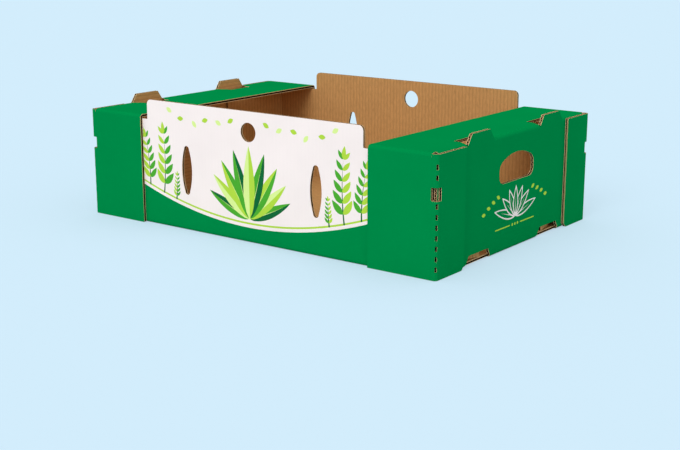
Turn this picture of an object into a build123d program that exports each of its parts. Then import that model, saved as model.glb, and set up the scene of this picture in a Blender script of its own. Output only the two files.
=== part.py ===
from build123d import *
import os
from math import pi, sqrt

# Stackable tray box folded from one sheet of corrugated board.
# Millimetres, X along the long sides, Y along the ends, Z up.
# The origin is the middle of the underside.

# Outer size
tray_length = 600.0
tray_width = 400.0
shelf_top = 157.0

# Board and folds
board = 4.0
layer_gap = 0.3
bend_inside = 1.0
foot_gap = 0.5

# End shelves, the corner panels under them and the flaps glued on the ends
shelf_width = 102.0
outer_flap_length = 65.0
outer_flap_drop = 1.0
flap_corner_cut = 6.0
end_panel_side_gap = 1.5

# Corner braces, folded inwards from the long sides and glued behind the ends
brace_setback = 35.0
brace_reach = 117.0

# Raised middle of each long side
raise_height = 22.0
raise_side_gap = 10.0
raise_corner_radius = 7.0
shoulder_gap = 2.0
shoulder_radius = 1.2

# Round hole and vents in each long side
round_hole_diameter = 26.0
round_hole_height = 151.0
vent_spacing = 227.0
vent_height = 86.0
vent_length = 69.0
vent_width = 19.0
vent_tip_radius = 4.6

# Hand hole in each end
hand_hole_width = 91.0
hand_hole_base = 92.0
hand_hole_rise = 38.0
hand_hole_arch_radius = 88.0
hand_hole_base_corner = 11.0
hand_hole_top_corner = 14.0

# Stacking tabs, the slots they leave in the shelves and the notches that take the next tray's tabs
tab_spacing = 187.0
tab_base = 63.0
tab_tip = 44.0
tab_height = 12.0
tab_foot_drop = 1.5
tab_corner_radius = 1.8
slot_depth = 27.0
slot_corner_radius = 1.5
cut_width = 0.6
notch_clearance = 1.5

# Perforated corner folds
slit_length = 6.5
slit_width = 1.6
slit_pitch = 13.0
lower_slits = 7
lower_slit_height = 14.5
upper_slits = 2
upper_slit_drop = 16.5
window_height = 107.0
window_length = 16.5
window_reach = 9.0

# Places that follow from the sizes above
bend_outside = bend_inside + board
bend_middle = bend_inside + board / 2
half_length = tray_length / 2
half_width = tray_width / 2
end_face = half_length - board - layer_gap
side_face = half_width - board - layer_gap
floor_half_length = end_face - bend_outside
floor_half_width = side_face - bend_outside
side_middle = side_face - board / 2
brace_fold = half_length - brace_setback
brace_end = half_width - brace_reach
brace_foot = end_face - board - layer_gap - board / 2
side_half_length = brace_fold - bend_outside
end_half_width = side_face - end_panel_side_gap
shelf_edge = half_length - shelf_width
shelf_middle = shelf_top - board / 2
shelf_fold = shelf_top - bend_outside
shoulder = shelf_top - board - shoulder_gap
raise_top = shelf_top + raise_height
raise_half_length = shelf_edge - raise_side_gap
outer_flap_top = shelf_top - outer_flap_drop
tab_middle = tab_spacing / 2
tab_length = tab_height + tab_foot_drop
tab_slope = (tab_base - tab_tip) / 2 / tab_length
tab_foot_rise = bend_outside - tab_foot_drop
tab_foot_arc = bend_middle * pi / 2 - tab_foot_rise
tab_foot_edge = floor_half_length + sqrt(bend_outside**2 - tab_foot_rise**2)
tab_tip_edge = floor_half_length + tab_foot_arc - tab_length
overlap = board
past_face = bend_outside


def bent_board(plane, corners, reach):
    # a strip of board that follows the corners with round folds, carried straight for the reach
    with BuildSketch(plane) as section:
        with BuildLine():
            FilletPolyline(*corners, radius=bend_middle)
        trace(line_width=board)
    extrude(section.sketch, amount=reach)


def tab_shape(seat_height, clearance):
    # trapezoid on the end's plane, its foot a little under the seat and carried straight down past the fold
    base = tab_base / 2 + clearance
    tip = tab_tip / 2 + clearance
    top = seat_height + tab_height + clearance
    foot = seat_height - tab_foot_drop
    low = seat_height - bend_outside - overlap
    with BuildSketch(Plane.YZ) as shape:
        with BuildLine():
            Polyline(
                (-tab_middle - base, low),
                (-tab_middle - base, foot),
                (-tab_middle - tip, top),
                (-tab_middle + tip, top),
                (-tab_middle + base, foot),
                (-tab_middle + base, low),
                close=True,
            )
        make_face()
        fillet(shape.vertices().group_by(Axis.Y)[-1], radius=tab_corner_radius)
    return shape.sketch


def slot_shape():
    # hole that the tab leaves in the shelf, seen from above: the tab laid flat from the fold, and deeper
    base = tab_base / 2 + cut_width
    waist = base - tab_slope * tab_foot_arc
    tip = tab_tip / 2 + cut_width
    with BuildSketch(Plane.XY.offset(shelf_top)) as shape:
        with BuildLine():
            Polyline(
                (tab_foot_edge, -tab_middle - base),
                (floor_half_length, -tab_middle - waist),
                (tab_tip_edge, -tab_middle - tip),
                (end_face - slot_depth, -tab_middle - tip),
                (end_face - slot_depth, -tab_middle + tip),
                (tab_tip_edge, -tab_middle + tip),
                (floor_half_length, -tab_middle + waist),
                (tab_foot_edge, -tab_middle + base),
                close=True,
            )
        make_face()
        fillet(shape.vertices().group_by(Axis.X)[0], radius=slot_corner_radius)
    return shape.sketch


def hand_hole_shape():
    # flat base with round corners under one wide arch
    side = hand_hole_width / 2
    crown = hand_hole_base + hand_hole_rise
    spring = crown - hand_hole_arch_radius + sqrt(hand_hole_arch_radius**2 - side**2)
    with BuildSketch(Plane.YZ) as shape:
        with BuildLine():
            Polyline((-side, spring), (-side, hand_hole_base), (side, hand_hole_base), (side, spring))
            ThreePointArc((side, spring), (0, crown), (-side, spring))
        make_face()
        fillet(shape.vertices().group_by(Axis.Y)[0], radius=hand_hole_base_corner)
        fillet(shape.vertices().group_by(Axis.Y)[-1], radius=hand_hole_top_corner)
    return shape.sketch


def vent_shape():
    # slender upright vent, its flanks bowed between two round tips
    tip = vent_tip_radius
    reach = vent_length / 2
    shoulder_reach = reach - tip
    with BuildSketch(Plane.XY) as shape:
        with BuildLine():
            ThreePointArc((tip, -shoulder_reach), (vent_width / 2, 0), (tip, shoulder_reach))
            ThreePointArc((tip, shoulder_reach), (0, reach), (-tip, shoulder_reach))
            ThreePointArc((-tip, shoulder_reach), (-vent_width / 2, 0), (-tip, -shoulder_reach))
            ThreePointArc((-tip, -shoulder_reach), (0, -reach), (tip, -shoulder_reach))
        make_face()
    return shape.sketch


# One quarter, the front right one, is folded here and mirrored twice at the end
with BuildPart() as tray:
    # floor, with its folds up into the end and the long side
    bent_board(
        Plane.XZ,
        [
            (0, board / 2),
            (end_face - board / 2, board / 2),
            (end_face - board / 2, bend_outside + overlap),
        ],
        floor_half_width,
    )
    bent_board(
        Plane.YZ,
        [
            (0, board / 2),
            (-side_middle, board / 2),
            (-side_middle, bend_outside + overlap),
        ],
        side_half_length,
    )

    # shelf, with its folds down into the end and into the corner panel
    bent_board(
        Plane.XZ,
        [
            (shelf_edge, shelf_middle),
            (end_face - board / 2, shelf_middle),
            (end_face - board / 2, shelf_fold - overlap),
        ],
        floor_half_width,
    )
    bent_board(
        Plane.YZ.offset(shelf_edge),
        [
            (0, shelf_middle),
            (-half_width + board / 2, shelf_middle),
            (-half_width + board / 2, foot_gap),
        ],
        floor_half_length - shelf_edge,
    )
    extrude(slot_shape(), amount=-bend_outside, mode=Mode.SUBTRACT)
    tab_cut = tab_shape(shelf_top, cut_width)
    tab_cut_start = end_face - board - cut_width
    extrude(
        tab_cut.moved(Location((tab_cut_start, 0, 0))),
        amount=tab_foot_edge - tab_cut_start,
        mode=Mode.SUBTRACT,
    )

    # end panel with its tab left standing, its hand hole and the notch for a tab from below
    with BuildSketch(Plane.YZ.offset(end_face - board)) as end_panel:
        with Locations((-end_half_width / 2, (bend_outside + shelf_fold) / 2)):
            Rectangle(end_half_width, shelf_fold - bend_outside)
    extrude(end_panel.sketch, amount=board)
    standing_tab = tab_shape(shelf_top, 0)
    extrude(standing_tab.moved(Location((end_face - board, 0, 0))), amount=board)
    notch = tab_shape(0, notch_clearance)
    notch_depth = board + notch_clearance
    extrude(
        notch.moved(Location((end_face - notch_depth, 0, 0))),
        amount=notch_depth + past_face,
        mode=Mode.SUBTRACT,
    )
    extrude(hand_hole_shape(), amount=half_length, mode=Mode.SUBTRACT)

    # long side: raised middle, round hole and vent
    with BuildSketch(Plane.XZ.offset(side_face - board)) as long_side:
        with BuildLine():
            Polyline(
                (0, bend_outside),
                (side_half_length, bend_outside),
                (side_half_length, shoulder),
                (raise_half_length, shoulder),
                (raise_half_length, raise_top),
                (0, raise_top),
                close=True,
            )
        make_face()
        raise_corner = long_side.vertices().sort_by_distance((raise_half_length, raise_top))[0]
        fillet(raise_corner, radius=raise_corner_radius)
        raise_foot = long_side.vertices().sort_by_distance((raise_half_length, shoulder))[0]
        fillet(raise_foot, radius=shoulder_radius)
        with Locations((0, round_hole_height)):
            Circle(round_hole_diameter / 2, mode=Mode.SUBTRACT)
        with Locations((vent_spacing / 2, vent_height)):
            add(vent_shape(), mode=Mode.SUBTRACT)
    extrude(long_side.sketch, amount=board)

    # brace, folded inwards from the long side and slanting across the corner to the end
    bent_board(
        Plane.XY.offset(bend_outside),
        [(side_half_length - overlap, -side_middle), (brace_fold, -side_middle), (brace_foot, -brace_end)],
        shoulder - bend_outside,
    )

    # corner panel round the outer corner into the flap on the end
    bent_board(
        Plane.XY.offset(foot_gap),
        [
            (floor_half_length, -half_width + board / 2),
            (half_length - board / 2, -half_width + board / 2),
            (half_length - board / 2, -half_width + outer_flap_length),
        ],
        outer_flap_top - foot_gap,
    )
    flap_end = (half_length, -half_width + outer_flap_length, foot_gap)
    chamfer(tray.edges().filter_by(Axis.X).sort_by_distance(flap_end)[0], length=flap_corner_cut)

    # window that wraps the corner fold
    with BuildSketch(Plane.XY.offset(window_height - window_length / 2)) as window:
        with BuildLine():
            FilletPolyline(
                (half_length - window_reach, -half_width + board / 2),
                (half_length - board / 2, -half_width + board / 2),
                (half_length - board / 2, -half_width + window_reach),
                radius=bend_middle,
            )
        trace(line_width=board + layer_gap)
    extrude(window.sketch, amount=window_length, mode=Mode.SUBTRACT)

    # slits through the corner fold, one row below the window and one above
    slit_heights = [lower_slit_height + slit_pitch * row for row in range(lower_slits)]
    slit_heights += [shelf_top - upper_slit_drop - slit_pitch * row for row in range(upper_slits)]
    for height in slit_heights:
        fold_centre = Plane(
            origin=(half_length - bend_outside, -half_width + bend_outside, height - slit_length / 2),
            x_dir=(1, -1, 0),
        )
        with BuildSketch(fold_centre) as slit:
            with Locations((bend_middle, 0)):
                Rectangle(board + bend_inside, slit_width)
        extrude(slit.sketch, amount=slit_length, mode=Mode.SUBTRACT)

    mirror(about=Plane.XZ)
    mirror(about=Plane.YZ)

tray.part.label = "tray"

os.makedirs("parts", exist_ok=True)
export_step(tray.part, "parts/tray.step")
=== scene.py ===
import math
from itertools import chain, cycle

import bpy
import numpy as np
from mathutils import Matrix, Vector
from mathutils.geometry import delaunay_2d_cdt


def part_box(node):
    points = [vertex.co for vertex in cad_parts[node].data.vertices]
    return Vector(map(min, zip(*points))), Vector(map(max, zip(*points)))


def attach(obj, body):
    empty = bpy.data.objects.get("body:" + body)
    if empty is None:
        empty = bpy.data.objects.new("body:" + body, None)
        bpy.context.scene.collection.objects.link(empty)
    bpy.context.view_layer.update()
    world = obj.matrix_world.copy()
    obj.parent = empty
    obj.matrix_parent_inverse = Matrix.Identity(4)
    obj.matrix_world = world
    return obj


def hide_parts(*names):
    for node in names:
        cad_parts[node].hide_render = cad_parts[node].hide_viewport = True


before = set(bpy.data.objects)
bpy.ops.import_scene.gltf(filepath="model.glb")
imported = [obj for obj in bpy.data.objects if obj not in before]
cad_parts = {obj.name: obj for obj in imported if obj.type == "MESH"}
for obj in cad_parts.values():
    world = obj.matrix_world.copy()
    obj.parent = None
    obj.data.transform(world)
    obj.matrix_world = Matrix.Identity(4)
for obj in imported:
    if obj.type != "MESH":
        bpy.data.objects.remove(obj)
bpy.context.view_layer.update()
nodeLow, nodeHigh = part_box("tray")
print("frame loaded")

metresPerMm = 0.001


# The sheet: sizes in millimetres, as the folded tray is measured
tray = {
    "length": (nodeHigh.x - nodeLow.x) / metresPerMm,
    "width": (nodeHigh.y - nodeLow.y) / metresPerMm,
    "height": (nodeHigh.z - nodeLow.z) / metresPerMm,
    "raise": 22.0,             # how far the long sides stand above the shelves
    "board": 4.0,
    "liner": 0.55,             # thickness of the two flat layers, as the cut edges show them
    "glueGap": 0.3,
    "bendInside": 1.0,
    "footGap": 0.5,            # corner panels end this far above the floor
    "shelfWidth": 102.0,
    "flapLength": 65.0,
    "flapDrop": 1.0,
    "flapCorner": 6.0,
    "braceFold": 265.0,        # where the brace leaves the long side
    "braceEnd": 83.0,          # where its tip meets the end
    "endSideGap": 1.5,
    "raiseSideGap": 10.0,
    "raiseCorner": 7.0,
    "shoulderGap": 2.0,
    "shoulderRadius": 1.2,
    "reliefCut": 0.3,          # slit that frees the corner panel's top from the shelf fold
}
cutouts = {
    "roundHole": 26.0,
    "roundHoleHeight": 151.0,
    "ventSpacing": 227.0,
    "ventHeight": 86.0,
    "ventLength": 69.0,
    "ventWidth": 19.0,
    "ventTip": 4.6,
    "handWidth": 91.0,
    "handBase": 92.0,
    "handRise": 38.0,
    "handArch": 88.0,
    "handBaseCorner": 11.0,
    "handTopCorner": 14.0,
    "tabSpacing": 187.0,
    "tabBase": 63.0,
    "tabTip": 44.0,
    "tabHeight": 12.0,
    "tabFootDrop": 1.5,        # the tab is cut from this far under the shelf's top
    "tabCorner": 1.8,
    "slotDepth": 27.0,
    "slotCorner": 1.5,
    "cutWidth": 0.6,
    "notchClearance": 1.5,
    "slitLength": 6.5,
    "slitWidth": 1.6,
    "slitCorner": 0.72,
    "slitPitch": 13.0,
    "lowerSlits": 7,
    "lowerSlitHeight": 14.5,
    "upperSlits": 2,
    "upperSlitDrop": 16.5,
    "windowHeight": 107.0,
    "windowLength": 16.5,
    "windowReach": 9.0,
    "windowCorner": 1.5,
}

# Places on the folded tray that follow from them
bend = tray["bendInside"] + tray["board"] / 2          # radius of the board's middle in a fold
bendOutside = tray["bendInside"] + tray["board"]
halfLength = tray["length"] / 2
halfWidth = tray["width"] / 2
endFace = halfLength - tray["board"] - tray["glueGap"]
sideFace = halfWidth - tray["board"] - tray["glueGap"]
shelfTop = tray["height"] - tray["raise"]
shelfFold = shelfTop - bendOutside
shoulder = shelfTop - tray["board"] - tray["shoulderGap"]
shelfEdge = halfLength - tray["shelfWidth"]
raiseHalf = shelfEdge - tray["raiseSideGap"]
sideMiddle = sideFace - tray["board"] / 2
cornerStart = halfLength - bendOutside
tabMiddle = cutouts["tabSpacing"] / 2

# The same places on the flat blank: u runs along the tray and over its ends, v across it and over its sides
quarterTurn = bend * math.pi / 2
floorU = endFace - bendOutside
floorV = sideFace - bendOutside
endU = floorU + quarterTurn
shelfFoldU = endU + shelfFold - bendOutside
shelfU = shelfFoldU + quarterTurn
edgeU = shelfU + floorU - shelfEdge
sideV = floorV + quarterTurn
shelfV = halfWidth - bendOutside
cornerV = shelfV + quarterTurn
cornerFoldU = edgeU - (cornerStart - shelfEdge)
flapU = cornerFoldU - quarterTurn
flapEndU = flapU - (tray["flapLength"] - bendOutside)
footV = cornerV + shelfFold - tray["footGap"]
flapTopV = cornerV - (shelfTop - tray["flapDrop"] - shelfFold)

# The brace's slant, as seen from above
braceFoot = endFace - tray["board"] - tray["glueGap"] - tray["board"] / 2
braceRun = (braceFoot - tray["braceFold"], sideMiddle - tray["braceEnd"])
braceTurn = math.atan2(braceRun[1], braceRun[0])
braceTangent = bend * math.tan(braceTurn / 2)
braceFoldU = tray["braceFold"] - braceTangent
braceU = braceFoldU + bend * braceTurn
braceEndU = braceU + math.hypot(*braceRun) - braceTangent
sideEndU = tray["braceFold"] - bendOutside


def heightOnSide(z):
    # blank v of a height on the long side
    return sideV + z - bendOutside


def heightOnEnd(z):
    # blank u of a height on the end panel
    return endU + z - bendOutside


def heightOnCorner(z):
    # blank v of a height on the corner panel and its flap
    return cornerV + shelfFold - z


# The tab on the blank, and how far its flanks lean in for each millimetre up
tabFootU = heightOnEnd(shelfTop - cutouts["tabFootDrop"])
tabTopU = heightOnEnd(shelfTop + cutouts["tabHeight"])
tabSlope = (cutouts["tabBase"] - cutouts["tabTip"]) / 2 / (cutouts["tabHeight"] + cutouts["tabFootDrop"])

foldSlack = 0.02         # rounding may carry a place this far over a fold line
mergeDistance = 0.001    # places of the blank that lie closer than this are one


def alongRuns(start, heading, runs, distance):
    # a path of runs, each with its own constant curvature k: over a run the heading grows by k times the
    # distance, and the place by the integral of the heading's cosine and sine
    lengths = np.array([run[0] for run in runs])
    curvature = np.array([run[1] for run in runs])
    begins = np.concatenate([[0.0], np.cumsum(lengths)[:-1]])
    turns = heading + np.concatenate([[0.0], np.cumsum(lengths * curvature)[:-1]])
    places = [np.array(start, float)]
    for length, k, turn in zip(lengths[:-1], curvature, turns):
        if k == 0:
            step = length * np.array([math.cos(turn), math.sin(turn)])
        else:
            end = turn + k * length
            step = np.array([math.sin(end) - math.sin(turn), math.cos(turn) - math.cos(end)]) / k
        places.append(places[-1] + step)
    run = np.clip(np.searchsorted(begins, distance, side="right") - 1, 0, len(runs) - 1)
    gone = distance - begins[run]
    k = curvature[run]
    angle = turns[run] + k * gone
    safeK = np.where(k == 0, 1.0, k)
    across = np.where(k == 0, gone * np.cos(turns[run]), (np.sin(angle) - np.sin(turns[run])) / safeK)
    up = np.where(k == 0, gone * np.sin(turns[run]), (np.cos(turns[run]) - np.cos(angle)) / safeK)
    return np.array(places)[run] + np.stack([across, up], 1), angle


def foldSheet(flat):
    # where the middle of the board at a place of the blank lies once the tray is folded, and which way its
    # printed face looks there; one quarter is worked out and the signs of u and v carry it to the others
    u = np.abs(flat[:, 0])
    v = np.abs(flat[:, 1])
    zero = np.zeros(len(u))
    half = tray["board"] / 2
    up, down = (quarterTurn, 1 / bend), (quarterTurn, -1 / bend)     # runs that turn a quarter, either way
    middle = np.zeros((len(u), 3))
    normal = np.zeros((len(u), 3))

    isCorner = (u > flapEndU - foldSlack) & (v > shelfV + foldSlack)
    isEnd = (u > sideEndU + foldSlack) & (v < shelfV + foldSlack)
    isSide = (v > floorV + foldSlack) & ~isCorner & ~isEnd
    halfTab = (cutouts["tabBase"] + cutouts["cutWidth"]) / 2 - np.clip(u - tabFootU, 0, None) * tabSlope
    isTab = (u > shelfFoldU) & (u < tabTopU + foldSlack) & (np.abs(v - tabMiddle) < halfTab)
    isTab &= ~isCorner & ~isSide
    isCore = ~isCorner & ~isSide & ~isTab

    # floor, end and shelf: up over two quarter turns, in the plane of x and z
    runs = [(floorU, 0), up, (shelfFoldU - endU, 0), up, (edgeU, 0)]
    place, angle = alongRuns((0, half), 0.0, runs, u)
    middle[isCore] = np.stack([place[:, 0], v, place[:, 1]], 1)[isCore]
    normal[isCore] = np.stack([np.sin(angle), zero, -np.cos(angle)], 1)[isCore]

    # tab: the end panel carried straight on
    middle[isTab] = np.stack([zero + endFace - half, v, u - endU + bendOutside], 1)[isTab]
    normal[isTab] = (1, 0, 0)

    # fold from the floor into the long side, in the plane of y and z
    isRise = isSide & (v < sideV - foldSlack)
    place, angle = alongRuns((0, half), 0.0, [(floorV, 0), up], v)
    middle[isRise] = np.stack([u, place[:, 0], place[:, 1]], 1)[isRise]
    normal[isRise] = np.stack([zero, np.sin(angle), -np.cos(angle)], 1)[isRise]

    # long side and brace, in plan
    isUpright = isSide & ~isRise
    runs = [(braceFoldU, 0), (braceU - braceFoldU, -1 / bend), (braceEndU, 0)]
    place, angle = alongRuns((0, sideMiddle), 0.0, runs, u)
    middle[isUpright] = np.stack([place[:, 0], place[:, 1], v - sideV + bendOutside], 1)[isUpright]
    normal[isUpright] = np.stack([-np.sin(angle), np.cos(angle), zero], 1)[isUpright]

    # fold from the shelf into the corner panel, in the plane of y and z
    isDrop = isCorner & (v < cornerV - foldSlack) & (u > shelfU - foldSlack)
    place, angle = alongRuns((0, shelfTop - half), 0.0, [(shelfV, 0), down], v)
    middle[isDrop] = np.stack([shelfEdge + edgeU - u, place[:, 0], place[:, 1]], 1)[isDrop]
    normal[isDrop] = np.stack([zero, -np.sin(angle), np.cos(angle)], 1)[isDrop]

    # corner panel and outer flap, in plan, counted from the shelf's inner edge
    isWall = isCorner & ~isDrop
    runs = [(edgeU - cornerFoldU, 0), down, (flapU, 0)]
    place, angle = alongRuns((shelfEdge, halfWidth - half), 0.0, runs, edgeU - u)
    middle[isWall] = np.stack([place[:, 0], place[:, 1], shelfFold - (v - cornerV)], 1)[isWall]
    normal[isWall] = np.stack([-np.sin(angle), np.cos(angle), zero], 1)[isWall]

    signs = np.ones((len(u), 3))
    signs[:, :2] = np.where(flat < 0, -1, 1)
    return middle * signs, normal * signs


# Outlines on the blank
chordSlack = 0.02        # how far a chord may lie inside its arc


def arcPoints(centre, radius, begin, end):
    # points on a circle from one angle to another, both included
    steps = max(2, math.ceil(abs(end - begin) / (2 * math.acos(1 - chordSlack / radius))))
    angle = np.linspace(begin, end, steps + 1)
    return np.stack([centre[0] + radius * np.cos(angle), centre[1] + radius * np.sin(angle)], 1)


def arcThrough(first, last, bow):
    # points on the arc from first to last that bows to the left by the given height
    first = np.array(first, float)
    last = np.array(last, float)
    chord = last - first
    half = np.hypot(*chord) / 2
    radius = (half**2 + bow**2) / (2 * abs(bow))
    left = np.array([-chord[1], chord[0]]) / (2 * half)
    centre = (first + last) / 2 + left * (bow - math.copysign(radius, bow))
    begin = math.atan2(*(first - centre)[::-1])
    sweep = -math.copysign(2 * math.asin(min(1.0, half / radius)), bow)
    if abs(bow) > half:
        sweep = -math.copysign(2 * math.pi, bow) - sweep
    return arcPoints(centre, radius, begin, begin + sweep)


def circle(centre, radius):
    # a whole turn, its first point kept once
    return arcPoints(centre, radius, 0, 2 * math.pi)[:-1]


def roundCorners(corners):
    # a closed outline from corners of u, v and radius: each becomes an arc that touches both of its edges,
    # and radius 0 keeps the corner
    corners = np.array(corners, float)
    points = corners[:, :2]
    outline = []
    for index, radius in enumerate(corners[:, 2]):
        corner = points[index]
        if radius == 0:
            outline.append(corner[None])
            continue
        before = points[index - 1] - corner
        after = points[(index + 1) % len(points)] - corner
        before = before / np.hypot(*before)
        after = after / np.hypot(*after)
        half = math.acos(np.clip(before @ after, -1, 1)) / 2
        centre = corner + (before + after) / np.hypot(*(before + after)) * radius / math.sin(half)
        reach = radius / math.tan(half)
        begin = math.atan2(*(corner + before * reach - centre)[::-1])
        end = math.atan2(*(corner + after * reach - centre)[::-1])
        turn = (end - begin + math.pi) % (2 * math.pi) - math.pi
        outline.append(arcPoints(centre, radius, begin, begin + turn))
    return np.concatenate(outline)


def mirrored(outline, signU, signV):
    # the outline carried to another quarter, its direction kept
    moved = outline * (signU, signV)
    return moved if signU * signV > 0 else moved[::-1]


def inEachQuarter(outline):
    return [mirrored(outline, signU, signV) for signU in (1, -1) for signV in (1, -1)]


def sheetOutline():
    # the blank's edge, anticlockwise: a quarter runs from the corner panel's foot to the raised side's top
    raiseTopV = heightOnSide(tray["height"])
    shoulderV = heightOnSide(shoulder)
    slitU = shelfU - tray["reliefCut"]
    endV = sideFace - tray["endSideGap"]
    corners = [
        (edgeU, footV, 0),
        (flapEndU + tray["flapCorner"], footV, 0),
        (flapEndU, footV - tray["flapCorner"], 0),
        (flapEndU, flapTopV, 0),
        (slitU, flapTopV, 0),
        (slitU, cornerV, 0),
        (shelfU, cornerV, 0),
        (shelfU, floorV, 0),
        (shelfFoldU, floorV, 0),
        (shelfFoldU, endV, 0),
        (endU, endV, 0),
        (endU, floorV, 0),
        (sideEndU, floorV, 0),
        (sideEndU, sideV, 0),
        (braceEndU, sideV, 0),
        (braceEndU, shoulderV, 0),
        (raiseHalf, shoulderV, tray["shoulderRadius"]),
        (raiseHalf, raiseTopV, tray["raiseCorner"]),
    ]
    # the next quarter's first corner gives the last arc its direction and is left out again
    quarter = roundCorners([*corners, (-raiseHalf, raiseTopV, 0)])[:-1]
    turns = [(1, 1), (-1, 1), (-1, -1), (1, -1)]
    return np.concatenate([mirrored(quarter, signU, signV) for signU, signV in turns])


def roundHoles():
    hole = circle((0, heightOnSide(cutouts["roundHoleHeight"])), cutouts["roundHole"] / 2)
    return [hole, mirrored(hole, 1, -1)]


def vents():
    # two bowed flanks between two rounded tips
    tip = cutouts["ventTip"]
    reach = cutouts["ventLength"] / 2
    flank = cutouts["ventWidth"] / 2 - tip
    low = reach - tip
    right = arcThrough((tip, -low), (tip, low), -flank)
    top = arcThrough((tip, low), (-tip, low), -tip)
    left = arcThrough((-tip, low), (-tip, -low), -flank)
    bottom = arcThrough((-tip, -low), (tip, -low), -tip)
    outline = np.concatenate([side[:-1] for side in (right, top, left, bottom)])
    return inEachQuarter(outline + (cutouts["ventSpacing"] / 2, heightOnSide(cutouts["ventHeight"])))


def withoutRepeats(parts):
    # arcs joined into one closed outline, each meeting point kept once
    outline = np.concatenate(parts)
    gap = np.hypot(*(np.roll(outline, -1, 0) - outline).T)
    return outline[gap > mergeDistance]


def handHoles():
    # flat base with round corners under a wide arch that two smaller arcs carry into the sides; u is up
    side = cutouts["handWidth"] / 2
    low = cutouts["handBaseCorner"]
    top = cutouts["handTopCorner"]
    arch = cutouts["handArch"]
    base = heightOnEnd(cutouts["handBase"])
    archU = base + cutouts["handRise"] - arch
    topU = archU + math.sqrt((arch - top) ** 2 - (side - top) ** 2)
    lean = math.atan2(side - top, topU - archU)
    parts = [
        arcPoints((base + low, low - side), low, math.pi, math.pi * 1.5),
        arcPoints((topU, top - side), top, -math.pi / 2, -lean),
        arcPoints((archU, 0), arch, -lean, lean),
        arcPoints((topU, side - top), top, lean, math.pi / 2),
        arcPoints((base + low, side - low), low, math.pi / 2, math.pi),
    ]
    outline = withoutRepeats(parts)
    return [outline, mirrored(outline, -1, 1)]


def notches():
    # trapezoid that takes the tab of the tray below, across the fold from the floor to the end
    base = cutouts["tabBase"] / 2 + cutouts["notchClearance"]
    tip = cutouts["tabTip"] / 2 + cutouts["notchClearance"]
    rise = cutouts["tabHeight"] + cutouts["notchClearance"]
    slope = (base - tip) / (rise + cutouts["tabFootDrop"])
    foot = base - cutouts["tabFootDrop"] * slope
    waist = foot - bendOutside * slope
    floorCut = endFace - tray["board"] - cutouts["notchClearance"]
    top = heightOnEnd(rise)
    corners = [
        (floorCut, -foot, 0),
        (floorU, -foot, 0),
        (endU, -waist, 0),
        (top, -tip, cutouts["tabCorner"]),
        (top, tip, cutouts["tabCorner"]),
        (endU, waist, 0),
        (floorU, foot, 0),
        (floorCut, foot, 0),
    ]
    return inEachQuarter(roundCorners(corners) + (0, tabMiddle))


def slots():
    # what is cut round a tab to let it stand: the tab's own outline inside, a little more room outside
    base = cutouts["tabBase"] / 2
    tip = cutouts["tabTip"] / 2
    cut = cutouts["cutWidth"]
    inner = shelfU + floorU - (endFace - cutouts["slotDepth"])
    corners = [
        (tabFootU, -base - cut, 0),
        (tabTopU, -tip - cut, 0),
        (inner, -tip - cut, cutouts["slotCorner"]),
        (inner, tip + cut, cutouts["slotCorner"]),
        (tabTopU, tip + cut, 0),
        (tabFootU, base + cut, 0),
        (tabFootU, base, 0),
        (tabTopU, tip, cutouts["tabCorner"]),
        (tabTopU, -tip, cutouts["tabCorner"]),
        (tabFootU, -base, 0),
    ]
    return inEachQuarter(roundCorners(corners) + (0, tabMiddle))


# The slits along a corner's fold: seven up from the floor and two down from the shelf
cornerMiddleU = (cornerFoldU + flapU) / 2
lowSlit = cutouts["lowerSlitHeight"]
topSlit = shelfTop - cutouts["upperSlitDrop"]
slitHeights = [lowSlit + cutouts["slitPitch"] * row for row in range(cutouts["lowerSlits"])]
slitHeights += [topSlit - cutouts["slitPitch"] * row for row in range(cutouts["upperSlits"])]


def cornerCuts():
    # window and slits along the fold from the corner panel into the flap
    reach = cutouts["windowReach"] - bendOutside + quarterTurn / 2
    window = (cutouts["windowLength"], 2 * reach, cutouts["windowCorner"])
    slit = (cutouts["slitLength"], cutouts["slitWidth"], cutouts["slitCorner"])
    cuts = [(cutouts["windowHeight"], *window), *[(height, *slit) for height in slitHeights]]
    found = []
    for height, length, width, radius in cuts:
        right, top = width / 2, length / 2
        corners = [(-right, -top, radius), (right, -top, radius), (right, top, radius), (-right, top, radius)]
        found += inEachQuarter(roundCorners(corners) + (cornerMiddleU, heightOnCorner(height)))
    return found


# Lines of the blank where a fold begins, ends and turns between
foldSteps = 6


def foldLines():
    # each line as a pair of places, end to end
    lines = []
    for share in np.linspace(0, 1, foldSteps + 1):
        turn = share * quarterTurn
        braceTurnU = braceFoldU + share * (braceU - braceFoldU)
        lines.append(((floorU + turn, -floorV), (floorU + turn, floorV)))
        lines.append(((shelfFoldU + turn, -floorV), (shelfFoldU + turn, floorV)))
        lines.append(((-sideEndU, floorV + turn), (sideEndU, floorV + turn)))
        lines.append(((braceTurnU, sideV), (braceTurnU, heightOnSide(shoulder))))
        lines.append(((flapU + turn, flapTopV), (flapU + turn, footV)))
        lines.append(((shelfU, shelfV + turn), (edgeU, shelfV + turn)))
    # the tab's foot, where it tears away from the shelf's fold over the width of the cut
    for reach in (cutouts["tabBase"] / 2, cutouts["tabBase"] / 2 + cutouts["cutWidth"]):
        for v in (tabMiddle - reach, tabMiddle + reach):
            lines.append(((shelfFoldU, v), (tabFootU, v)))
    lines = np.array(lines)
    copies = [lines * (signU, signV) for signU in (1, -1) for signV in (1, -1)]
    return np.concatenate(copies)


# What is printed on the outside: fields of ink with a plain outline each, laid over one another in this order
inks = {
    "green": (0.0, 0.216, 0.053),
    "white": (0.880, 0.757, 0.718),
    "lime": (0.42, 0.62, 0.055),
    "leaf": (0.07, 0.36, 0.03),
    "deep": (0.008, 0.125, 0.035),
    "pale": (0.66, 0.80, 0.27),
}
inkNames = list(inks)
plainSlot, edgeSlot, hollowShadeSlot = range(len(inks), len(inks) + 3)     # the sheet's materials without ink

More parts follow.
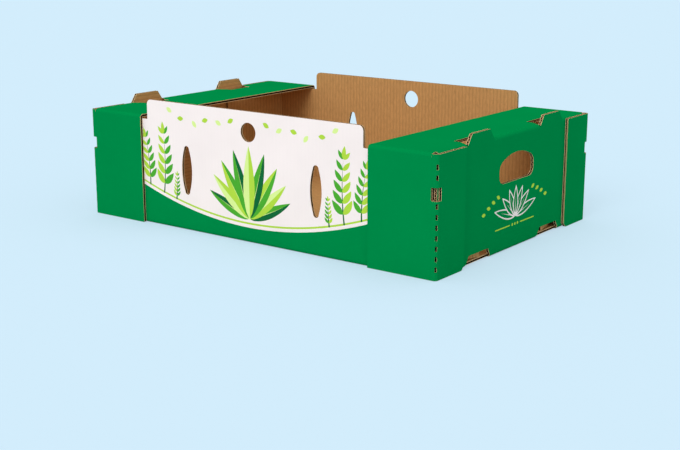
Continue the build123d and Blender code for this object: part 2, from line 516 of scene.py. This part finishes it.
leafForm = {
    "points": 13,               # along the middle line
    "belly": 0.8,               # power on the way along: below 1 it moves the widest place towards the foot
    "fullness": 0.85,           # power on the width: below 1 it fills out the flanks
    "ribShare": 0.82,           # share of the middle line that a rib follows
}
sidePrint = {
    "fieldBase": 21.2,          # lowest place of the white field, at the middle of a side
    "fieldRise": 8.96e-4,       # it climbs by this times the distance from the middle squared
    "fieldReach": 215.0,
    "fieldPoints": 61,
    "fieldOver": 5.0,           # its outline goes on this far over the side's top
    "bandGap": 4.5,
    "bandWidth": 2.6,
    "fanFoot": (0.0, 33.0),
    "fan": (                    # lean, length, width and the two halves' inks, from the middle out
        (0, 100, 20, ("lime", "pale")),
        (18, 96, 19.5, ("deep", "leaf")),
        (36, 90, 18.5, ("leaf", "lime")),
        (54, 84, 17, ("lime", "pale")),
        (72, 78, 15.5, ("deep", "leaf")),
    ),
    "fanCurl": -0.16,           # share of its lean that a leaf turns by, back towards upright
    "fanRib": 1.5,
    "twigs": ((159, -8, 104, 0.3), (186, -2, 84, 0.35), (135, -6, 42, 0.1)),   # foot, lean, length, curl
    "twigRib": 2.4,
    "twigLeaf": (21.0, 8.2),    # length and width of the lowest leaves
    "twigLength": 90.0,         # of a twig that has them at this size; the leaves grow and shrink with it
    "twigPairs": 6,
    "twigTaper": 0.5,           # share of their size that the leaves lose over all the pairs, in equal steps
    "twigSpread": 54,           # degrees from the twig to a leaf
    "twigCurl": -0.45,
    "twigTip": 0.7,             # size of the leaf at the end against the lowest ones
    "petals": ((26, 166, 118), (48, 156, 64), (72, 161, 105), (94, 148, 40), (118, 158, 92), (140, 165, 60)),
    "petalInks": ("lime", "pale"),
    "petalLeaf": (11.5, 6.5),
}
endPrint = {
    "foot": (0.0, 43.0),
    "fan": ((0, 42), (25, 43), (50, 47), (75, 58)),     # lean and length, from the middle out
    "width": 13.5,
    "line": 1.6,
    "inset": (2.4, 5.0, 2.3),   # the green inside starts later and is shorter and slimmer by so many lines
    "ribShare": 0.8,            # length of the line in its middle against the leaf's
    "petals": ((42, 74, 64), (54, 70, 72), (66, 65, 80), (78, 59, 88)),   # place in y and height, lean
    "petalLeaf": (9.5, 5.0),
    "ruleHeight": 32.5,
    "rule": (14.0, 52.0),
    "beads": (-7.0, 0.0, 7.0),
    "bead": 1.9,
}


def leafLine(foot, lean, length, curl):
    # the middle line of a leaf: its heading, counted from upright, turns steadily by the curl
    way = np.linspace(0, 1, leafForm["points"])
    heading = math.radians(lean) + curl * way
    step = np.stack([np.sin(heading), np.cos(heading)], 1) * length / (leafForm["points"] - 1)
    line = np.array(foot) + np.concatenate([[(0.0, 0.0)], np.cumsum((step[1:] + step[:-1]) / 2, 0)])
    return way, line, np.stack([np.cos(heading), -np.sin(heading)], 1)


def leafFlank(foot, lean, length, width, curl, belly):
    # middle line of a pointed leaf, and from it to the flank: half the width times the sine of the way
    way, line, side = leafLine(foot, lean, length, curl)
    return line, side * (width / 2 * np.sin(np.pi * way**belly) ** leafForm["fullness"])[:, None]


def leafHalves(foot, lean, length, width, curl):
    # right and left half of a leaf
    line, half = leafFlank(foot, lean, length, width, curl, leafForm["belly"])
    right = np.concatenate([(line + half)[:-1], line[:0:-1]])
    left = np.concatenate([line, (line - half)[-2:0:-1]])
    return right, left


def leafWhole(foot, lean, length, width, curl=0.0, belly=leafForm["belly"]):
    # both halves in one outline
    line, half = leafFlank(foot, lean, length, width, curl, belly)
    return np.concatenate([(line + half)[:-1], (line - half)[:0:-1]])


def petal(place, lean, size):
    # a small leaf, widest at its middle
    return leafWhole(place, lean, *size, belly=1.0)


def ribLine(foot, lean, length, curl):
    return leafLine(foot, lean, length * leafForm["ribShare"], curl * leafForm["ribShare"])


def leafRib(foot, lean, length, curl, thickness):
    # a sliver along the middle line, thickest at the foot and gone before the tip
    way, line, side = ribLine(foot, lean, length, curl)
    half = side * (thickness / 2 * (1 - way))[:, None]
    return np.concatenate([(line + half)[:-1], (line - half)[::-1]])


def bothWays(lean):
    # leans of a leaf and of its mirror image; one that stands upright has none
    return (lean, -lean) if lean else (lean,)


def onBothSides(fields):
    # the right half's fields and their mirror images
    return fields + [(ink, outline[::-1] * (-1, 1)) for ink, outline in fields]


def arcHeight(x):
    # the white field's lower edge, a parabola
    return sidePrint["fieldBase"] + sidePrint["fieldRise"] * x**2


def twigFields():
    # the twigs of the right half: a rib, pairs of leaves that shrink towards its tip and a leaf at its end
    pairs = sidePrint["twigPairs"]
    fields = []
    for foot, lean, length, curl in sidePrint["twigs"]:
        start = (foot, arcHeight(foot) + sidePrint["bandGap"])
        leaf = np.array(sidePrint["twigLeaf"]) * length / sidePrint["twigLength"]
        fields.append(("deep", leafRib(start, lean, length, curl, sidePrint["twigRib"])))
        way, line = ribLine(start, lean, length, curl)[:2]
        for pair in range(pairs):
            at = (pair + 1) * (leafForm["points"] - 1) // pairs
            heading = lean + math.degrees(curl * leafForm["ribShare"] * way[at])
            size = leaf * (1 - sidePrint["twigTaper"] * pair / pairs)
            for sign, ink in ((1, "lime"), (-1, "leaf")):
                spread = heading + sidePrint["twigSpread"] * sign
                fields.append((ink, leafWhole(line[at], spread, *size, sidePrint["twigCurl"] * sign)))
        heading = lean + math.degrees(curl * leafForm["ribShare"])
        fields.append(("lime", leafWhole(line[-1], heading, *(leaf * sidePrint["twigTip"]))))
    return fields


def petalFields():
    # small leaves strewn over the right half, their inks by turns
    petalInks = cycle(sidePrint["petalInks"])
    size = sidePrint["petalLeaf"]
    return [(next(petalInks), petal((x, z), lean, size)) for x, z, lean in sidePrint["petals"]]


def fanFields():
    # the fan in the middle, outermost leaves first: two halves in neighbouring inks and a pale rib
    foot = sidePrint["fanFoot"]
    fields = []
    for rightLean, length, width, halfInks in sidePrint["fan"][::-1]:
        for lean in bothWays(rightLean):
            curl = math.radians(sidePrint["fanCurl"] * lean)
            fields += zip(halfInks, leafHalves(foot, lean, length, width, curl))
            fields.append(("pale", leafRib(foot, lean, length, curl, sidePrint["fanRib"])))
    return fields


def sideFields():
    # the print of one long side, in x and height: white above the arc, a band along it, and the motifs
    across = np.linspace(-sidePrint["fieldReach"], sidePrint["fieldReach"], sidePrint["fieldPoints"])
    edge = np.stack([across, arcHeight(across)], 1)
    top = tray["height"] + sidePrint["fieldOver"]
    low = edge + (0, sidePrint["bandGap"])
    high = low + (0, sidePrint["bandWidth"])
    fields = [
        ("white", np.concatenate([edge, [(across[-1], top), (across[0], top)]])),
        ("lime", np.concatenate([low, high[::-1]])),
    ]
    return fields + onBothSides(twigFields() + petalFields()) + fanFields()


def endFields():
    # the print of one end, in y and height: a fan of white-lined leaves between two rows of small ones,
    # over a ruled line with beads
    line = endPrint["line"]
    foot = np.array(endPrint["foot"])
    width = endPrint["width"]
    later, shorter, slimmer = endPrint["inset"]
    fields = []
    for rightLean, length in endPrint["fan"][::-1]:
        for lean in bothWays(rightLean):
            angle = math.radians(lean)
            heading = np.array([math.sin(angle), math.cos(angle)])
            begin = foot + heading * later * line
            inside = leafWhole(begin, lean, length - shorter * line, width - slimmer * line)
            rib = leafRib(foot + heading * line, lean, length * endPrint["ribShare"], 0.0, line)
            fields += [("white", leafWhole(foot, lean, length, width)), ("green", inside), ("white", rib)]
    low = endPrint["ruleHeight"] - line / 2
    near, far = endPrint["rule"]
    rule = np.array([(near, low), (far, low), (far, low + line), (near, low + line)])
    petals = [petal((y, z), lean, endPrint["petalLeaf"]) for y, z, lean in endPrint["petals"]]
    fields += onBothSides([("lime", outline) for outline in (rule, *petals)])
    fields += [("lime", circle((y, endPrint["ruleHeight"]), endPrint["bead"])) for y in endPrint["beads"]]
    return fields


def printedFields():
    # every field as (ink, outline on the blank), both long sides and both ends
    found = []
    for ink, outline in sideFields():
        place = np.stack([outline[:, 0], heightOnSide(outline[:, 1])], 1)
        found += [(ink, place), (ink, mirrored(place, 1, -1))]
    for ink, outline in endFields():
        place = np.stack([heightOnEnd(outline[:, 1]), outline[:, 0]], 1)[::-1]
        found += [(ink, place), (ink, mirrored(place, -1, 1))]
    return found


def triangulate(outlines, lines, fields):
    # triangles of the blank that keep every outline, fold line and field edge; each takes the ink of the
    # last field it lies in, and the first ink where there is none
    shapes = [*outlines, *[field for ink, field in fields]]
    counts = np.array([len(shape) for shape in shapes])
    ends = np.cumsum(counts)
    faces = [list(range(end - count, end)) for end, count in zip(ends, counts)]
    edges = np.arange(ends[-1], ends[-1] + 2 * len(lines)).reshape(-1, 2)
    places = np.concatenate([*shapes, lines.reshape(-1, 2)])
    given = [Vector(place) for place in places.tolist()]
    found = delaunay_2d_cdt(given, edges.tolist(), faces, 0, mergeDistance, True)
    flat = np.array([tuple(place) for place in found[0]])
    triangles = np.array(found[2])
    shapesOver = found[5]        # for each triangle the shapes that it lies in

    owner = np.fromiter(chain.from_iterable(shapesOver), int)
    triangle = np.repeat(np.arange(len(triangles)), [len(owners) for owners in shapesOver])
    inSheet = np.zeros(len(triangles), bool)
    inSheet[triangle[owner == 0]] = True
    inSheet[triangle[(owner > 0) & (owner < len(outlines))]] = False
    top = np.zeros(len(triangles), int)
    np.maximum.at(top, triangle, owner)
    inkOf = np.array([0] * len(outlines) + [inkNames.index(ink) for ink, field in fields])
    used, kept = np.unique(triangles[inSheet], return_inverse=True)
    return flat[used], kept.reshape(-1, 3), inkOf[top[inSheet]]


def withBareBraces(blank, triangles, inkSlots):
    # the braces are glued and carry no ink past their folds
    middle = np.abs(blank[triangles].mean(1))
    isBrace = (middle[:, 0] > braceU) & (middle[:, 0] < braceEndU) & (middle[:, 1] > sideV)
    return np.where(isBrace, plainSlot, inkSlots)


def findRim(flat, triangles):
    # the edges that only one triangle has, the board on their left, and for each the edge that follows it
    edges = triangles[:, [0, 1, 1, 2, 2, 0]].reshape(-1, 2)
    forth = edges[:, 0] * len(flat) + edges[:, 1]
    back = edges[:, 1] * len(flat) + edges[:, 0]
    rim = edges[~np.isin(forth, back)]
    leaving = np.zeros(len(flat), int)
    leaving[rim[:, 0]] = np.arange(len(rim))
    return rim, leaving[rim[:, 1]]


sharpest = 0.45          # keeps the step into the board short at pointed corners


def rimSteps(flat, rim, following):
    # per rim edge the way into the board square to it, and from its first point the way that keeps both edges
    # meeting there one millimetre off: the sum of their two ways over 1 plus the cosine between them
    along = flat[rim[:, 1]] - flat[rim[:, 0]]
    along /= np.hypot(*along.T)[:, None]
    left = np.stack([-along[:, 1], along[:, 0]], 1)
    before = np.empty_like(left)
    before[following] = left
    share = np.clip(1 + (left * before).sum(1), sharpest, None)
    return left, (left + before) / share[:, None]


def foldedAt(flat, depth):
    # places in metres at a distance from the board's middle, positive towards the print
    middle, normal = foldSheet(flat)
    return (middle + normal * np.reshape(depth, (-1, 1))) * metresPerMm


def newPiece(name, faces, flat, depth):
    # a folded mesh whose points also carry their place on the blank, for the materials
    mesh = bpy.data.meshes.new(name)
    mesh.from_pydata(foldedAt(flat, depth).tolist(), [], faces)
    flatPlace = mesh.attributes.new("flatPlace", "FLOAT_VECTOR", "POINT")
    where = np.concatenate([flat, np.reshape(depth, (-1, 1))], 1) * metresPerMm
    flatPlace.data.foreach_set("vector", where.astype(np.float32).ravel())
    piece = bpy.data.objects.new(name, mesh)
    bpy.context.scene.collection.objects.link(piece)
    return piece


grooveDepth = 1.6        # how far the hollow between the two liners is cut back at an edge


def makeSheet(blank, triangles, inkSlots, rim, following):
    # one closed skin: printed face, plain face and an edge wall with a groove between the two liners
    half = tray["board"] / 2
    inner = half - tray["liner"]
    start = blank[rim[:, 0]]
    into = start + rimSteps(blank, rim, following)[1] * grooveDepth
    flat = np.concatenate([blank, blank, start, into, into, start])
    counts = [len(blank), len(blank)] + [len(rim)] * 4
    depth = np.repeat([half, -half, inner, inner, -inner, -inner], counts)

    groove = 2 * len(blank) + np.arange(4 * len(rim)).reshape(4, -1)
    rows = np.concatenate([rim[None, :, 0], groove, rim[None, :, 0] + len(blank)])
    nextRows = rows[:, following]
    walls = np.stack([rows[:-1], nextRows[:-1], nextRows[1:], rows[1:]], 2).reshape(-1, 4)
    faces = triangles[:, ::-1].tolist() + (triangles + len(blank)).tolist() + walls.tolist()
    piece = newPiece("tray_sheet", faces, flat, depth)

    # the groove's back and sides take the near-black hollow material: painted shade in the recess
    wallSlots = np.repeat([edgeSlot, hollowShadeSlot, hollowShadeSlot, hollowShadeSlot, edgeSlot], len(rim))
    slots = np.concatenate([inkSlots, np.full(len(triangles), plainSlot), wallSlots])
    piece.data.polygons.foreach_set("material_index", slots.astype(np.int32))
    giveFoldNormals(piece.data, flat, depth, 2 * len(triangles))
    return piece


def giveFoldNormals(mesh, flat, depth, faceCount):
    # the two faces shade by the fold's own normal, so a fold is round and a panel stays flat beside it
    smooth = np.zeros(len(mesh.polygons), bool)
    smooth[:faceCount] = True
    mesh.polygons.foreach_set("use_smooth", smooth)
    corners = np.zeros(len(mesh.loops), np.int32)
    mesh.loops.foreach_get("vertex_index", corners)
    normal = foldSheet(flat)[1] * np.sign(depth)[:, None]
    given = normal[corners]
    given[3 * faceCount:] = 0
    mesh.normals_split_custom_set(given.tolist())


fluting = {
    "pitch": 6.0316,         # from one wave to the next: 89.5 of them from the middle to a shelf's inner edge
    "paper": 0.4,
    "setBack": 0.12,         # how far the wavy layer lies behind the cut
    "behind": 0.1,           # how far it goes on past the back of the groove
    "spacing": 0.7,          # length of blank between two points along a cut that crosses the waves
    "slitShare": 0.6,        # rim within this share of a slit's length from its middle is the slit's own
}


def withoutSlits(blank, rim, following):
    # the rim without the slits' loops, in which the wavy layer is crushed and out of sight
    middles = np.array([(cornerMiddleU, heightOnCorner(height)) for height in slitHeights])
    away = np.abs(np.abs(blank[rim[:, 0]])[:, None] - middles)
    kept = ~(away < cutouts["slitLength"] * fluting["slitShare"]).all(2).any(1)
    place = np.cumsum(kept) - 1
    return rim[kept], place[following[kept]]


def makeFluting(blank, rim, following):
    # the wavy middle layer where cuts lay it open: its height in the board is minus the cosine of u over the
    # pitch, and a strip of it follows every cut edge, from just behind the cut to the back of the groove
    wave = 2 * math.pi / fluting["pitch"]
    half = fluting["paper"] / 2
    reach = tray["board"] / 2 - tray["liner"]
    swing = reach - half
    edge = blank[rim[:, 1]] - blank[rim[:, 0]]
    parts = np.maximum(1, np.ceil(np.abs(edge[:, 0]) / fluting["spacing"]).astype(int))
    first = np.cumsum(parts) - parts
    owner = np.repeat(np.arange(len(rim)), parts)
    share = (np.arange(len(owner)) - first[owner]) / parts[owner]
    dense = blank[rim[owner, 0]] + share[:, None] * edge[owner]
    left, mitre = rimSteps(blank, rim, following)
    steps = np.where(share[:, None] == 0, mitre[owner], left[owner])
    nextPoint = np.arange(len(owner)) + 1
    nextPoint[first + parts - 1] = first[following]

    height = -swing * np.cos(wave * dense[:, 0])
    slope = swing * wave * np.sin(wave * dense[:, 0])
    thick = half * np.sqrt(1 + slope**2)
    low = np.clip(height - thick, -reach, None)
    high = np.clip(height + thick, None, reach)
    front = dense + steps * fluting["setBack"]
    back = dense + steps * (grooveDepth + fluting["behind"])
    rows = np.arange(4 * len(dense)).reshape(4, -1)
    nextRow = np.roll(rows, -1, 0)
    quads = np.stack([rows, rows[:, nextPoint], nextRow[:, nextPoint], nextRow], 2)
    flat = np.concatenate([front, front, back, back])
    depth = np.concatenate([high, low, low, high])
    piece = newPiece("edge_fluting", quads.reshape(-1, 4).tolist(), flat, depth)
    # the paper's cut edge takes the first material, its sides and back in the hollow the second, a darker
    # copy that is painted shade
    piece.data.polygons.foreach_set("material_index", np.repeat([0, 1, 1, 1], len(dense)).astype(np.int32))
    return piece


# Materials
def newMaterial(name, roughness, sheen):
    material = bpy.data.materials.new(name)
    material.use_nodes = True
    shader = material.node_tree.nodes["Principled BSDF"]
    shader.inputs["Roughness"].default_value = roughness
    shader.inputs["Specular IOR Level"].default_value = sheen
    return material, material.node_tree, shader


def feed(tree, socket, value):
    # a socket takes what another one gives, or a fixed value
    if isinstance(value, bpy.types.NodeSocket):
        tree.links.new(value, socket)
    else:
        socket.default_value = value


def mathNode(tree, operation, *values):
    node = tree.nodes.new("ShaderNodeMath")
    node.operation = operation
    for socket, value in zip(node.inputs, values):
        feed(tree, socket, value)
    return node.outputs[0]


def mixColour(tree, factor, first, second):
    # the mix node's sockets for colours are its inputs 6 and 7 and its output 2
    node = tree.nodes.new("ShaderNodeMix")
    node.data_type = "RGBA"
    for index, value in ((0, factor), (6, first), (7, second)):
        feed(tree, node.inputs[index], value)
    return node.outputs[2]


def shade(colour, factor):
    return (*[min(1.0, channel * factor) for channel in colour], 1.0)


def flatVector(tree):
    node = tree.nodes.new("ShaderNodeAttribute")
    node.attribute_name = "flatPlace"
    return node.outputs["Vector"]


def fluteWave(tree, place):
    # 0 in the valleys of the wavy layer and 1 on its crests: half of 1 plus the cosine of u over the pitch
    split = tree.nodes.new("ShaderNodeSeparateXYZ")
    tree.links.new(place, split.inputs[0])
    turn = mathNode(tree, "MULTIPLY", split.outputs[0], 2 * math.pi / (fluting["pitch"] * metresPerMm))
    return mathNode(tree, "MULTIPLY_ADD", mathNode(tree, "COSINE", turn), 0.5, 0.5)


def noise(tree, place, scale, detail, stretch=(1, 1, 1)):
    mapping = tree.nodes.new("ShaderNodeMapping")
    mapping.inputs["Scale"].default_value = stretch
    tree.links.new(place, mapping.inputs["Vector"])
    node = tree.nodes.new("ShaderNodeTexNoise")
    node.inputs["Scale"].default_value = scale
    node.inputs["Detail"].default_value = detail
    tree.links.new(mapping.outputs[0], node.inputs["Vector"])
    return node.outputs["Fac"]


def cloudColour(tree, place, colour, finish):
    # the colour with soft clouds between its two shades
    thin, full = [shade(colour, factor) for factor in finish["cloudShades"]]
    return mixColour(tree, noise(tree, place, *finish["clouds"]), thin, full)


def bump(tree, height, distance, before=None):
    node = tree.nodes.new("ShaderNodeBump")
    node.inputs["Distance"].default_value = distance * metresPerMm
    node.inputs["Strength"].default_value = 1.0
    tree.links.new(height, node.inputs["Height"])
    if before is not None:
        tree.links.new(before, node.inputs["Normal"])
    return node.outputs[0]


inkFinish = {
    "surface": (1.0, 0.0),               # roughness and sheen
    "clouds": (14, 3),                   # scale and detail of a noise
    "cloudShades": (0.94, 1.06),
    "tooth": (1500, 2),
    "toothDepth": 0.012,
    "lines": 0.025,                      # how much the crests of the waves show through
    "lineShade": 0.72,
    "waveDepth": 0.012,
}


def inkMaterial(name, colour):
    # matt ink on a smooth liner: faint clouds, a fine tooth, and the waves showing through a little
    material, tree, shader = newMaterial(name, *inkFinish["surface"])
    place = flatVector(tree)
    cloudy = cloudColour(tree, place, colour, inkFinish)
    tooth = noise(tree, place, *inkFinish["tooth"])
    wave = fluteWave(tree, place)
    lines = mathNode(tree, "MULTIPLY", wave, inkFinish["lines"])
    inked = mixColour(tree, lines, cloudy, shade(colour, inkFinish["lineShade"]))
    tree.links.new(inked, shader.inputs["Base Color"])
    ripple = bump(tree, wave, inkFinish["waveDepth"])
    tree.links.new(bump(tree, tooth, inkFinish["toothDepth"], ripple), shader.inputs["Normal"])
    return material


kraftFinish = {
    "surface": (0.9, 0.01),
    "clouds": (22, 4),
    "cloudShades": (0.92, 1.08),
    "fibres": (620, 5, (1.0, 0.2, 1.0)),     # scale, detail and stretch
    "fibrePower": 2.0,
    "fibreShare": 1.05,
    "fibreShade": 0.5,
    "fibreDepth": 0.05,
    "linePower": 5.0,                    # narrows the lines to the bottoms of the valleys
    "lineShade": 0.55,
    "flecks": (900, 1, (1.0, 0.5, 1.0)),
    "fleckFloor": 0.70,                  # noise above this is a fleck
    "fleckShare": 0.45,
    "fleckShade": 0.45,
}
boards = {
    # name: colour, how dark the lines over the valleys are, depth of the waves; in the order of the slots
    "plain_board": ((0.60, 0.325, 0.122), 0.5, 0.05),
    "liner_edge": ((0.85, 0.60, 0.33), 0.0, 0.0),
    # the hollow's near-black colour is painted shade, for the shadow down between the two liners
    "board_hollow_painted_shade": ((0.012, 0.005, 0.002), 0.0, 0.0),
}
wavyPapers = {
    # the same for the wavy layer: its cut edge, and its sides down in the hollow, painted dark as shade
    "wavy_edge": ((0.80, 0.47, 0.22), 0.0, 0.0),
    "wavy_side_painted_shade": ((0.10, 0.042, 0.014), 0.0, 0.0),
}


def kraftMaterial(name, colour, lineShare, waveDepth):
    # bare brown board: long fibres, small flecks, soft clouds and a darker line over each valley of the waves
    finish = kraftFinish
    material, tree, shader = newMaterial(name, *finish["surface"])
    place = flatVector(tree)
    cloudy = cloudColour(tree, place, colour, finish)
    fibres = noise(tree, place, *finish["fibres"])
    grain = mathNode(tree, "POWER", fibres, finish["fibrePower"])
    grain = mathNode(tree, "MULTIPLY", grain, finish["fibreShare"])
    flecks = noise(tree, place, *finish["flecks"])
    wave = fluteWave(tree, place)
    valley = mathNode(tree, "POWER", mathNode(tree, "SUBTRACT", 1.0, wave), finish["linePower"])
    lines = mathNode(tree, "MULTIPLY", valley, lineShare)
    specks = mathNode(tree, "GREATER_THAN", flecks, finish["fleckFloor"])
    specks = mathNode(tree, "MULTIPLY", specks, finish["fleckShare"])
    fibred = mixColour(tree, grain, cloudy, shade(colour, finish["fibreShade"]))
    lined = mixColour(tree, lines, fibred, shade(colour, finish["lineShade"]))
    flecked = mixColour(tree, specks, lined, shade(colour, finish["fleckShade"]))
    tree.links.new(flecked, shader.inputs["Base Color"])
    ripple = bump(tree, wave, waveDepth)
    tree.links.new(bump(tree, fibres, finish["fibreDepth"], ripple), shader.inputs["Normal"])
    return material


outlines = [sheetOutline(), *roundHoles(), *vents(), *handHoles(), *notches(), *slots(), *cornerCuts()]
blank, triangles, inkSlots = triangulate(outlines, foldLines(), printedFields())
inkSlots = withBareBraces(blank, triangles, inkSlots)
rim, following = findRim(blank, triangles)
print("blank ready:", len(outlines), "outlines,", len(triangles), "triangles a side")

sheet = makeSheet(blank, triangles, inkSlots, rim, following)
for name, colour in inks.items():
    sheet.data.materials.append(inkMaterial(name + "_ink", colour))
for name, look in boards.items():
    sheet.data.materials.append(kraftMaterial(name, *look))
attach(sheet, "root")
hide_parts("tray")
print("sheet folded:", len(sheet.data.polygons), "faces")

wavy = makeFluting(blank, *withoutSlits(blank, rim, following))
for name, look in wavyPapers.items():
    wavy.data.materials.append(kraftMaterial(name, *look))
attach(wavy, "root")
print("fluting made:", len(wavy.data.polygons), "faces")


# Stage, light and camera
studio = {
    "floorSize": 40.0,
    "pale": (0.652, 0.847, 0.974),     # what the camera sees of the sky, and of the floor unlit
    "floor": (0.536, 0.70, 0.81),
    "surface": (1.0, 0.0),     # the floor's roughness and sheen
    "flatShare": 0.6,          # share of the floor's colour that camera rays see unlit
    "sky": (1.0, 1.0, 1.0),
    "ambient": 0.75,
}
suns = {
    # name: where from, strength, angle across in degrees
    "front_sun": ((0.12, -0.82, 0.56), 1.27, 30.0),
    "top_sun": ((0.0, 0.0, 1.0), 0.73, 90.0),
}
lens = {
    "azimuth": 36.973,
    "elevation": 14.051,
    "distance": 1.7756,
    "target": (0.01911, -0.01879, -0.0075),
    "focalPixels": 1219.0,
    "imageWidth": 680,
    "sensorWidth": 36.0,
    "clipEnd": 100.0,
}


def rayMix(tree, seenShare, lit, seen):
    # camera, glossy and transmission rays see the second colour by its share, all others the first
    path = tree.nodes.new("ShaderNodeLightPath")
    seenBy = mathNode(tree, "MAXIMUM", path.outputs["Is Camera Ray"], path.outputs["Is Glossy Ray"])
    seenBy = mathNode(tree, "MAXIMUM", seenBy, path.outputs["Is Transmission Ray"])
    mix = tree.nodes.new("ShaderNodeMixShader")
    for socket, value in zip(mix.inputs, (mathNode(tree, "MULTIPLY", seenBy, seenShare), lit, seen)):
        feed(tree, socket, value)
    return mix.outputs[0]


def makeFloor():
    half = studio["floorSize"] / 2
    corners = [(-half, -half, 0), (half, -half, 0), (half, half, 0), (-half, half, 0)]
    mesh = bpy.data.meshes.new("studio_floor")
    mesh.from_pydata(corners, [], [(0, 1, 2, 3)])
    floor = bpy.data.objects.new("studio_floor", mesh)
    bpy.context.scene.collection.objects.link(floor)
    material, tree, shader = newMaterial("pale_floor", *studio["surface"])
    shader.inputs["Base Color"].default_value = (*studio["floor"], 1)
    glow = tree.nodes.new("ShaderNodeEmission")
    glow.inputs["Color"].default_value = (*studio["pale"], 1)
    out = rayMix(tree, studio["flatShare"], shader.outputs[0], glow.outputs[0])
    tree.links.new(out, tree.nodes["Material Output"].inputs["Surface"])
    mesh.materials.append(material)


def makeLight():
    # a white sky that the camera sees in the floor's pale colour, and two suns
    world = bpy.data.worlds.new("studio_world")
    bpy.context.scene.world = world
    world.use_nodes = True
    tree = world.node_tree
    soft = tree.nodes["Background"]
    soft.inputs["Color"].default_value = (*studio["sky"], 1)
    soft.inputs["Strength"].default_value = studio["ambient"]
    seen = tree.nodes.new("ShaderNodeBackground")
    seen.inputs["Color"].default_value = (*studio["pale"], 1)
    out = rayMix(tree, 1.0, soft.outputs[0], seen.outputs[0])
    tree.links.new(out, tree.nodes["World Output"].inputs["Surface"])
    for name, (whereFrom, strength, angle) in suns.items():
        sun = bpy.data.lights.new(name, "SUN")
        sun.energy = strength
        sun.angle = math.radians(angle)
        lamp = bpy.data.objects.new(name, sun)
        lamp.rotation_mode = "QUATERNION"
        lamp.rotation_quaternion = Vector(whereFrom).to_track_quat("Z", "Y")
        bpy.context.scene.collection.objects.link(lamp)


def makeCamera():
    azimuth = math.radians(lens["azimuth"])
    elevation = math.radians(lens["elevation"])
    level = math.cos(elevation)
    back = Vector((math.sin(azimuth) * level, -math.cos(azimuth) * level, math.sin(elevation)))
    data = bpy.data.cameras.new("photo_view")
    data.sensor_width = lens["sensorWidth"]
    data.lens = lens["focalPixels"] * lens["sensorWidth"] / lens["imageWidth"]
    data.clip_end = lens["clipEnd"]
    camera = bpy.data.objects.new("photo_view", data)
    camera.location = Vector(lens["target"]) + back * lens["distance"]
    camera.rotation_mode = "QUATERNION"
    camera.rotation_quaternion = (-back).to_track_quat("-Z", "Y")
    bpy.context.scene.collection.objects.link(camera)
    bpy.context.scene.camera = camera


makeFloor()
makeLight()
makeCamera()
bpy.context.scene.view_settings.view_transform = "Standard"
print("stage, light and camera ready")
